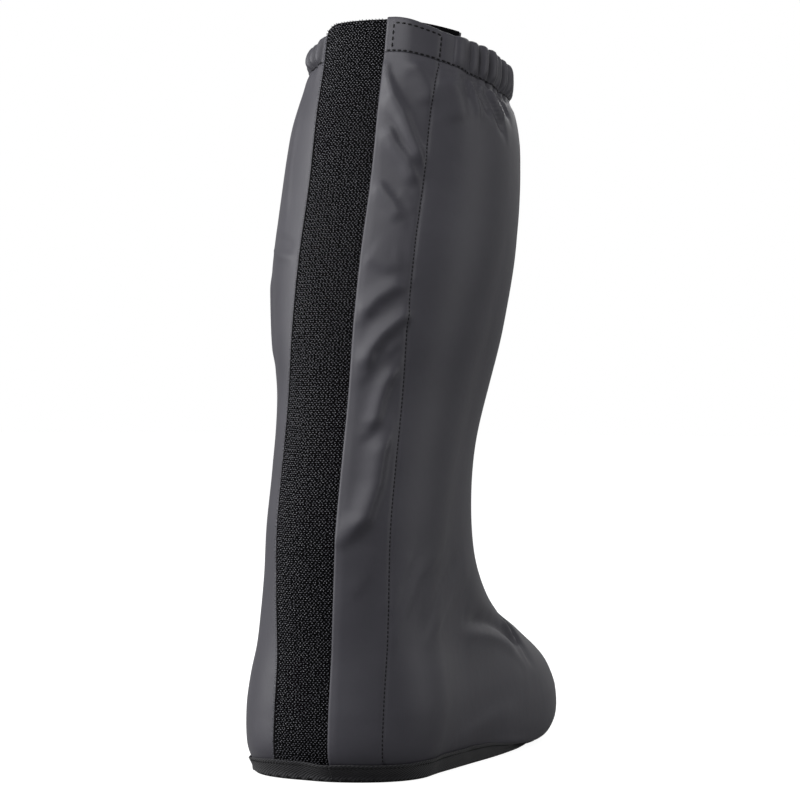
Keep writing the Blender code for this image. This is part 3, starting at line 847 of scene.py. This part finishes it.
# %% Ground of the hook tape
HOOK_TAPE = ("back_tape", "hook_tape")
TAPE_GROUND = 0.6
TAPE_COLUMNS = 42
inner_levels = upper_levels[upper_levels > TAPE_FOOT + 0.03][:-1:2]
tape_rows, tape_uvs = [], []
for level in (TAPE_FOOT, *inner_levels, TOP):
    arcs = np.linspace(TAPE_LEFT, TAPE_RIGHT, TAPE_COLUMNS) + drift(level)
    tape_rows.append(lay(arcs, level, GAP + TAPE_GROUND, underlay_drop(arcs, level)))
    tape_uvs.append(row_map(arcs, height_of(level)))
add_sheet("hook_tape_ground", tape_rows, tape_uvs, [tape_ground], HOOK_TAPE, TAPE_GROUND)


# %% Repeat one small shape many times
COPY_STEP = 0.01          # metres between the copies in the Array, before each is stood in its place


def repeat(template, count):
    """The template mesh repeated by an Array modifier, with each vertex's copy number and local place."""
    carrier = add_object("carrier", template)
    array = carrier.modifiers.new("copies", "ARRAY")
    array.count = count
    array.use_relative_offset = False
    array.use_constant_offset = True
    array.constant_offset_displace = (COPY_STEP, 0.0, 0.0)
    shown = carrier.evaluated_get(bpy.context.evaluated_depsgraph_get())
    mesh = bpy.data.meshes.new_from_object(shown)
    bpy.data.objects.remove(carrier)
    size = len(template.vertices)
    local = np.array([vertex.co for vertex in template.vertices]) / MM
    return mesh, np.repeat(np.arange(count), size), np.tile(local, (count, 1))


def stand_copies(name, template, places, sides, fronts, normals):
    """One mesh of copies, each with its own place and axes, in millimetres."""
    mesh, number, local = repeat(template, len(places))
    points = (places[number] + local[:, 0:1] * sides[number] + local[:, 1:2] * fronts[number]
              + local[:, 2:3] * normals[number])
    mesh.name = name
    mesh.vertices.foreach_set("co", (points * MM).astype(np.float32).ravel())
    mesh.update()
    return mesh


# %% One hook
HOOK_PITCH, HOOK_ROWS_PITCH = 2.0, 1.09
HOOK_RADIUS = 0.25
HOOK_STEPS = ((0.0, 0.6), (0.15, 0.35), (0.35, 0.05))     # forward and up from ring to ring, in millimetres
HOOK_REACH = 0.3          # from the foot of a hook to the middle of its bend
HOOK_SINK = 0.05          # its foot is set into the ground
hook_shape = bmesh.new()
bmesh.ops.create_circle(hook_shape, segments=3, radius=HOOK_RADIUS * MM)
ring = list(hook_shape.edges)
for forward, rise in HOOK_STEPS:
    grown = bmesh.ops.extrude_edge_only(hook_shape, edges=ring)["geom"]
    ring = [part for part in grown if isinstance(part, bmesh.types.BMEdge)]
    tip = [part for part in grown if isinstance(part, bmesh.types.BMVert)]
    bmesh.ops.translate(hook_shape, verts=tip, vec=(0.0, forward * MM, rise * MM))
bmesh.ops.contextual_create(hook_shape, geom=ring)
bmesh.ops.recalc_face_normals(hook_shape, faces=hook_shape.faces)
hook_template = to_mesh("hook", hook_shape)
print("one hook:", len(hook_template.polygons), "faces")

# %% Hooks
# The first hook of each row stands at the selvedge and leans out, and so do those of the top row
HOOK_MARGIN, UNDER_FLAP = 0.6, 3.0      # in from the selvedge, and on under the flap's edge
HOOK_WANDER, HOOK_LEAN, HOOK_TWIST = 0.13, 0.14, 0.3          # spread of places, slopes and turns
FIRST_WANDER, FIRST_LEAN, TOP_LEAN, TOP_STRIP = (-0.2, 0.3), (0.2, 1.6), (0.2, 1.4), 1.4
hook_random = np.random.default_rng(3)
hook_heights = np.arange(height_of(TAPE_FOOT) + 0.3, HEIGHT_TABLE[-1] - 0.2, HOOK_ROWS_PITCH)
hook_rows = []
for row, height in enumerate(hook_heights):
    level = level_at(height)
    selvedge = TAPE_LEFT + drift(level)
    turned = row % 2
    first = selvedge + HOOK_MARGIN + turned * HOOK_PITCH / 2 - (1 - 2 * turned) * HOOK_REACH
    arcs = np.arange(first, FLAP_EDGE + UNDER_FLAP, HOOK_PITCH)
    arcs = arcs + hook_random.normal(0, HOOK_WANDER, len(arcs))
    arcs[0] = selvedge + hook_random.uniform(*FIRST_WANDER)
    points, normals, upward = skin(arcs, level)
    lean = hook_random.normal(0, HOOK_LEAN, (len(arcs), 2))
    lean[0, 1] += hook_random.uniform(*FIRST_LEAN)
    lean[:, 0] += hook_random.uniform(*TOP_LEAN, len(arcs)) * (height > HEIGHT_TABLE[-1] - TOP_STRIP)
    across = np.cross(upward, normals)
    stand = unit(normals + lean[:, :1] * upward - lean[:, 1:] * across)
    turn = hook_random.normal(0, HOOK_TWIST, len(arcs)) + np.pi * turned
    front = across * np.cos(turn)[:, None] + upward * np.sin(turn)[:, None]
    side = np.cross(front, stand)
    places = points + normals * (GAP + TAPE_GROUND - HOOK_SINK)
    hook_rows.append((places, side, np.cross(stand, side), stand))
hook_mesh = stand_copies("hook_tape_hooks", hook_template, *map(np.concatenate, zip(*hook_rows)))
add_piece("hook_tape_hooks", hook_mesh, [hook_nylon_painted_highlight], HOOK_TAPE)
print("hooks:", sum(len(places) for places, *_ in hook_rows), "with", len(hook_mesh.polygons), "faces")

# %% [markdown]
# ## Loop tape
# Inside the flap a narrower strip of brushed nylon loops faces the hooks.  Hardly any of it shows, so it is
# a plain strip whose face is roughened vertex by vertex, as brushed loops stand up unevenly.

# %% Loop tape
LOOP_PILE, LOOP_THICK = 1.0, 0.8
LOOP_STEP = 1.7           # millimetres from row to row
LOOP_COLUMNS, LOOP_TOP = 17, 5.0        # the tape ends this far below the flap's rim
PILE_UNEVEN = 0.2         # share of the pile's height that varies
HOOK_CLEAR = 2.05         # the loops stay this far off the boot, over the ground of the hook tape
loop_random = np.random.default_rng(5)
loop_rows, loop_uvs = [], []
for level in level_at(np.arange(height_of(LOOP_FOOT), HEIGHT_TABLE[-1] - LOOP_TOP, LOOP_STEP)):
    arcs = np.linspace(LOOP_SEAM, LOOP_EDGE, LOOP_COLUMNS)
    pile = LOOP_PILE * (1 - PILE_UNEVEN + PILE_UNEVEN * loop_random.random(len(arcs)))
    under = right_panel(arcs, level) - WALL - 0.2 - pile
    loop_rows.append(lay(arcs, level, np.maximum(under, HOOK_CLEAR)))
    loop_uvs.append(row_map(arcs, height_of(level)))
add_sheet("loop_tape", loop_rows, loop_uvs, [loop_nylon], ("flap_tape", "loop_tape"), LOOP_THICK)

# %% [markdown]
# ## Sole
# The sole is a thin sheet of black rubber with a shallow tread.  Its underside never shows in the
# photograph, so it is finished plainly: a raised rim along the edge and staggered bars across the foot.
# The sheet is a grid as wide as the outline at each place along the foot, bent up at the toe.

# %% Outline of the sole
# Moulded rubber is a dull black with a fine, even grain from the mould
rubber = grained("moulded black rubber", ("#0e0e0f", "#1b1b1d"), (0.55, 0.75), 1.5 * MM, 4.0, 0.4,
                 (0.35, 0.15 * MM))
SOLE_PART = ("sole", "sole_rubber")
SOLE, TREAD, SOLE_RIM = 3.0, 1.3, 6.0
SKIRT_EASE = 20.0         # left of the flap's edge the skirt runs out over this length
size_low = dict(zip(SECTION_COLUMNS, SECTIONS[0]))
SOLE_BACK = size_low["back_y"] + BOOT_MOVE[1]
SOLE_LENGTH = size_low["front_y"] - size_low["back_y"]


def skirt(arcs, level):
    """How far the sole edge stands out past the boot, to pass under the flap low on the heel."""
    out = flap_climb(arcs, level) * ramp(arcs, FLAP_EDGE - SKIRT_EASE, FLAP_EDGE)
    return out + heel_corner(arcs, level)


def sole_edge(arcs, inward=0.0):
    """Points of the sole's outline, on the underside, the given millimetres in from the edge."""
    points, normals, _ = skin(arcs, 0)
    points = points + normals * (skirt(arcs, 0) - inward)[:, None]
    points[:, 2] = sole_rise(points[:, 1])
    return points


def sole_rise(y):
    """Height of the underside over the floor."""
    return (size_low["front_z"] - size_low["back_z"]) * toe_spring((y - SOLE_BACK) / SOLE_LENGTH)


half_edge = girth(0) / 2
print("rubber sole:", round(SOLE_LENGTH), "mm long inside the binding,", round(2 * half_edge), "mm round")

# %% Sole sheet
SOLE_ROWS, SOLE_COLUMNS = 70, 25
SHEET_INSET = 0.4         # the sheet ends inside the rim
right_edge = sole_edge(np.linspace(0, half_edge, 500), SHEET_INSET)
left_edge = sole_edge(np.linspace(0, -half_edge, 500), SHEET_INSET)


def sole_sides(y):
    """The x of the sole's right and left edges at a place along the foot."""
    return [np.interp(y, edge[:, 1], edge[:, 0]) for edge in (right_edge, left_edge)]


sole_y = SOLE_BACK + 0.1 + (SOLE_LENGTH - 0.2) * (1 - np.cos(np.linspace(0, np.pi, SOLE_ROWS))) / 2
sole_rows = []
for y in sole_y:
    x = np.linspace(*sole_sides(y), SOLE_COLUMNS)
    sole_rows.append(np.stack([x, np.full(len(x), y), np.full(len(x), sole_rise(y) + TREAD)], axis=1))
sole_uvs = np.array(sole_rows)[:, :, :2]
add_sheet("sole_sheet", sole_rows, sole_uvs, [rubber], SOLE_PART, SOLE - TREAD)

# %% Rim of the sole
# Millimetres in from the edge and up from the underside, from the top edge round to the inner foot
RIM_PROFILE = ((0.3, SOLE), (0.0, SOLE - 0.4), (0.0, 0.5), (0.5, 0.0), (SOLE_RIM - 0.6, 0.0),
               (SOLE_RIM, 0.5), (SOLE_RIM, TREAD + 0.1))
rim_arcs = np.linspace(-half_edge, half_edge, 300)
rim_rows = np.array([sole_edge(rim_arcs, inward) + (0, 0, up) for inward, up in RIM_PROFILE])[::-1]
rim_mesh = place_grid("sole_rim", rim_rows, rim_rows[:, :, :2])
add_piece("sole_rim", rim_mesh, [rubber], SOLE_PART)
print("rim:", len(rim_mesh.polygons), "faces")

# %% Bars of the tread
BAR_LONG, BAR_WIDE, BAR_PITCH, BAR_STEP = 13.0, 3.4, 7.0, 18.0
BAR_HIGH = TREAD + 0.1    # set into the sheet a little
BAR_INSET = SOLE_RIM + BAR_LONG / 2 + 4
END_ROOM = 11.0           # no bars this close to heel and toe
bar_shape = bmesh.new()
bmesh.ops.create_cube(bar_shape, size=1.0)
bmesh.ops.scale(bar_shape, vec=(BAR_LONG * MM, BAR_WIDE * MM, BAR_HIGH * MM), verts=bar_shape.verts)
bmesh.ops.bevel(bar_shape, geom=bar_shape.edges, offset=0.4 * MM, affect="EDGES", segments=1,
                profile=0.5, material=-1)
bar_template = to_mesh("bar", bar_shape)
bar_places = []
for row, y in enumerate(np.arange(SOLE_BACK + END_ROOM, SOLE_BACK + SOLE_LENGTH - END_ROOM, BAR_PITCH)):
    right_x, left_x = sole_sides(y) + np.array((-BAR_INSET, BAR_INSET))
    middle = (right_x + left_x) / 2 + (row % 2 - 0.5) * BAR_STEP / 2
    steps = middle + BAR_STEP * np.arange(-4, 5)
    steps = steps[(steps > left_x) & (steps < right_x)]
    bar_places += [(x, y, sole_rise(y) + BAR_HIGH / 2) for x in steps]
bar_places = np.array(bar_places)
spring_slope = (sole_rise(bar_places[:, 1] + 1) - sole_rise(bar_places[:, 1] - 1)) / 2
flat_fronts = np.tile((0.0, 1.0, 0.0), (len(bar_places), 1))
bar_sides = np.tile((1.0, 0.0, 0.0), (len(bar_places), 1))
bar_fronts = unit(flat_fronts + spring_slope[:, None] * (0.0, 0.0, 1.0))
bar_mesh = stand_copies("sole_tread", bar_template, bar_places, bar_sides, bar_fronts,
                        np.cross(bar_sides, bar_fronts))
add_piece("sole_tread", bar_mesh, [rubber], SOLE_PART)
print("tread bars:", len(bar_places))

# %% [markdown]
# ## Binding
# A woven twill tape is sewn round the edge of the sole, over the raw edge of the upper.  Its two ends meet
# at the flap's edge.  The tape is a grid round the whole foot with soft selvedges, of which the lower one
# turns in against the rim.  Its slanting ribs are under half a millimetre high, so they come from the
# material, a dark grey that lies dull between the ribs and pale along them.

# %% Twill tape
RIB_PITCH = 1.5 * MM      # real ribs are about 0.8 mm apart, drawn coarser so that they show
RIB_SLANT = 0.85          # radians
twill, twill_shader = start_material("woven twill tape", {"Specular IOR Level": 0.3, "Sheen Weight": 0.1})
twill_place = add_node(twill, "TexCoord", {}, {}).outputs["UV"]
slanted = add_node(twill, "Mapping", {"Rotation": (0.0, 0.0, RIB_SLANT)}, {"Vector": twill_place})
ribs = add_node(twill, "TexWave", {"bands_direction": "X", "Scale": WAVE_SCALE / RIB_PITCH,
                                   "Distortion": 0.6, "Detail": 1.0}, {"Vector": slanted.outputs["Vector"]})
dress(twill, twill_shader, ribs.outputs["Fac"], ("#0f0f11", "#242428"), (0.7, 0.85), (0.8, 0.3 * MM))
print("twill:", twill.name)

# %% The strip of the boot that the binding covers
BINDING_TOP, BINDING_TOE = 0.65, 0.32           # levels of its upper edge at the heel and at the toe
BINDING_TAPER = (0.25, 0.75)
LEFT_TAPER, LEFT_TAPER_ARCS = 0.75, (-15.0, -60.0)        # on the left it narrows early, round the heel
strip_levels = np.linspace(0.0, BINDING_TOP, 27)


def binding_arcs(level):
    """Columns of the binding, from the flap's edge round the toe and back to it."""
    half = girth(level) / 2
    end = np.array((0.03, 0.4, 1.0))
    right = np.linspace(FLAP_EDGE + 2.5, half, 210)
    left = np.linspace(-half, FLAP_EDGE - 2.5, 216)[1:]
    return np.concatenate([FLAP_EDGE + end, right, left, FLAP_EDGE - end[::-1]])


strip_arcs = np.array([binding_arcs(level) for level in strip_levels])
strip = [skin(arcs, level) for arcs, level in zip(strip_arcs, strip_levels)]
strip_points = np.array([points for points, _, _ in strip])
strip_normals = np.array([normals for _, normals, _ in strip])
strip_skirt = np.array([skirt(arcs, level) for arcs, level in zip(strip_arcs, strip_levels)])
way = np.abs(strip_arcs[0]) / (girth(0) / 2)
binding_taper = np.maximum(ramp(way, *BINDING_TAPER), LEFT_TAPER * ramp(strip_arcs[0], *LEFT_TAPER_ARCS))
binding_top = BINDING_TOP + (BINDING_TOE - BINDING_TOP) * binding_taper


def on_strip(rows, share):
    """Values of the strip at one share of the binding's width, each column between its own two levels."""
    place = np.interp(binding_top * share, strip_levels, np.arange(len(strip_levels)))
    low = np.minimum(place.astype(int), len(strip_levels) - 2)
    part = (place - low).reshape((-1,) + (1,) * (rows.ndim - 2))
    column = np.arange(rows.shape[1])
    return rows[low, column] * (1 - part) + rows[low + 1, column] * part


print("binding strip:", strip_points.shape[1], "columns")

# %% Binding
BINDING = ("sole_binding", "binding_tape")
TAPE_THICK, TAPE_WIDE = 0.5, 12.0
END_LAP, END_LAP_LONG = 0.35, 3.0       # the right end stands out a little where it meets the left one
RIPPLE_OUT, RIPPLE_DOWN = 0.4, 0.5      # shares of the sewn tape's ripple that go outward and down
PUCKER, PUCKER_STEP, PUCKER_WIDE = 0.6, 1.08, 45.0        # the lower selvedge is wavy round the heel
# Share of the tape's width, drop below it and thickness, from the lower selvedge to the upper one
BINDING_ROWS = ((0.0, 2.25, -0.5), (0.0, 2.3, 0.55), (0.0, 2.2, 0.95), (0.0, 1.8, 1.2), (0.0, 0.9, 1.3),
                (0.0, 0.0, 1.3), (0.2, 0.0, 1.3), (0.4, 0.0, 1.3), (0.6, 0.0, 1.25), (0.74, 0.0, 1.1),
                (0.86, 0.0, 1.2), (0.95, 0.0, 1.2), (0.99, 0.0, 0.9), (1.0, 0.0, 0.5))
binding_rows, binding_uvs = [], []
for share, drop, thick in BINDING_ROWS:
    arcs = on_strip(strip_arcs, share)
    ripple = 0.28 * np.sin(arcs / 4.3) * np.sin(arcs / 19 + 1) + 0.2 * np.sin(arcs / 9.1 + 2)
    end_lap = END_LAP * ramp(arcs - FLAP_EDGE, END_LAP_LONG, 0) * (arcs > FLAP_EDGE)
    off = on_strip(strip_skirt, share) + GAP + thick + RIPPLE_OUT * ripple + end_lap
    points = on_strip(strip_points, share) + on_strip(strip_normals, share) * off[:, None]
    pucker = PUCKER * np.sin(arcs / PUCKER_STEP) * bell(arcs, 0, PUCKER_WIDE) * (drop > 0.5)
    points[:, 2] -= drop + RIPPLE_DOWN * ripple + pucker
    binding_rows.append(points)
    round_boot = np.where(arcs > FLAP_EDGE, arcs, arcs + girth(0))
    binding_uvs.append(row_map(round_boot, TAPE_WIDE * share - drop))
add_sheet("binding_tape", binding_rows, binding_uvs, [twill], BINDING, TAPE_THICK)

# %% [markdown]
# ## Stitching
# Dark thread holds everything together: one seam down the flap, one round the foot of the casing, a box
# on the flat of the casing and one row along the top of the binding.  A stitch is a small flattened bead
# that sinks at both ends; an Array repeats it and each copy is turned along its seam.

# %% Thread and one stitch
# Spun polyester is matt and nearly black, uneven where its fibres cross
thread = grained("spun polyester thread", ("#060607", "#111113"), (0.5, 0.7), 0.4 * MM, 2.0, 0.2)
STITCH_LONG, STITCH_WIDE, STITCH_HIGH, STITCH_PITCH = 1.75, 0.74, 0.6, 2.2
BOLD = 1.5               # the casing is sewn with a thicker thread and longer stitches
stitch_shape = bmesh.new()
bmesh.ops.create_uvsphere(stitch_shape, u_segments=6, v_segments=4, radius=0.5)
bmesh.ops.rotate(stitch_shape, verts=stitch_shape.verts, cent=(0, 0, 0),
                 matrix=Vector((0, 0, 1)).rotation_difference(Vector((1, 0, 0))).to_matrix())
bmesh.ops.scale(stitch_shape, verts=stitch_shape.verts,
                vec=(STITCH_LONG * MM, STITCH_WIDE * MM, STITCH_HIGH * MM))
stitch_template = to_mesh("stitch", stitch_shape)
stitch_template.shade_smooth()
print("one stitch:", len(stitch_template.polygons), "faces")


# %% Sew along a route
STITCH_REACH = 0.8        # how far to each side of a stitch its direction is taken


def sew(name, route, part, bold=1.0):
    """A row of stitches along a dense route of points and normals, in millimetres."""
    points, normals = route
    run = np.concatenate([[0], np.cumsum(np.linalg.norm(np.diff(points, axis=0), axis=1))])
    count = int(run[-1] / (STITCH_PITCH * bold))
    at = (np.arange(count) + 0.5) * run[-1] / count
    along = unit(follow(at + STITCH_REACH, run, points) - follow(at - STITCH_REACH, run, points))
    across = unit(np.cross(follow(at, run, normals), along))
    mesh = stand_copies(name, stitch_template, follow(at, run, points), bold * along, bold * across,
                        bold * np.cross(along, across))
    add_piece(name, mesh, [thread], part)
    print(name + ":", count, "stitches")


def up_route(arc, levels, off):
    """Route up the boot at one arc; off is the function of the outer face there."""
    rows = [(skin([arc], level), off(np.array([arc]), level)[0]) for level in levels]
    return (np.array([row[0][0] + row[1][0] * over for row, over in rows]),
            np.array([row[1][0] for row, _ in rows]))


def round_route(arcs, level, over):
    """Route round the boot at one level."""
    points, normals, _ = skin(arcs, level)
    return points + normals * np.reshape(over, (-1, 1)), normals


# %% Seams of the flap and the casing
CASING_FACE = 0.38        # the flat part of the casing lies this far off the flap's cloth
BOX_TOP, BOX_MARGIN = TOP - 0.16, 4.2
seam_levels = np.linspace(0.72, CASING_FOOT - 0.06, 500)
sew("stitches_flap_seam", up_route(FLAP_SEAM, seam_levels, right_panel), UPPER, 1.05)
casing_low = CASING_FOOT + 0.05
seam_arcs = np.concatenate([np.arange(FLAP_EDGE + 1, casing_girth / 2, 0.5),
                            np.arange(-casing_girth / 2, CASING_LEFT - 1, 0.5)])
seam_over = panel(seam_arcs, casing_low) + 0.2
sew("stitches_casing", round_route(seam_arcs, casing_low, seam_over), COLLAR, BOLD)


def casing_face(arcs, level):
    """Outer face of the flat part of the casing."""
    return right_panel(arcs, level) + CASING_FACE


box_levels = np.linspace(CASING_FOOT + 0.12, TOP - 0.17, 60)
for box_name, box_arc in (("stitches_box_edge", FLAP_EDGE + BOX_MARGIN), ("stitches_box_seam", FLAP_SEAM)):
    box_points, box_normals = up_route(box_arc, box_levels, casing_face)
    box_points[:, 2] -= rim_sag(box_arc, box_levels)
    sew(box_name, (box_points, box_normals), COLLAR, BOLD)
box_arcs = np.linspace(FLAP_EDGE + BOX_MARGIN + 0.4, FLAP_SEAM, 60)
top_points, top_normals = round_route(box_arcs, BOX_TOP, casing_face(box_arcs, BOX_TOP))
top_points[:, 2] -= rim_sag(box_arcs, BOX_TOP)
sew("stitches_box_top", (top_points, top_normals), COLLAR, BOLD)

# %% Seam of the binding
BINDING_STITCH = 0.76        # share of the binding's width where its stitches run
BINDING_FACE = 1.2
stitch_normals = on_strip(strip_normals, BINDING_STITCH)
stitch_off = on_strip(strip_skirt, BINDING_STITCH) + GAP + BINDING_FACE
stitch_points = on_strip(strip_points, BINDING_STITCH) + stitch_normals * stitch_off[:, None]
sew("stitches_binding", (stitch_points, stitch_normals), BINDING)
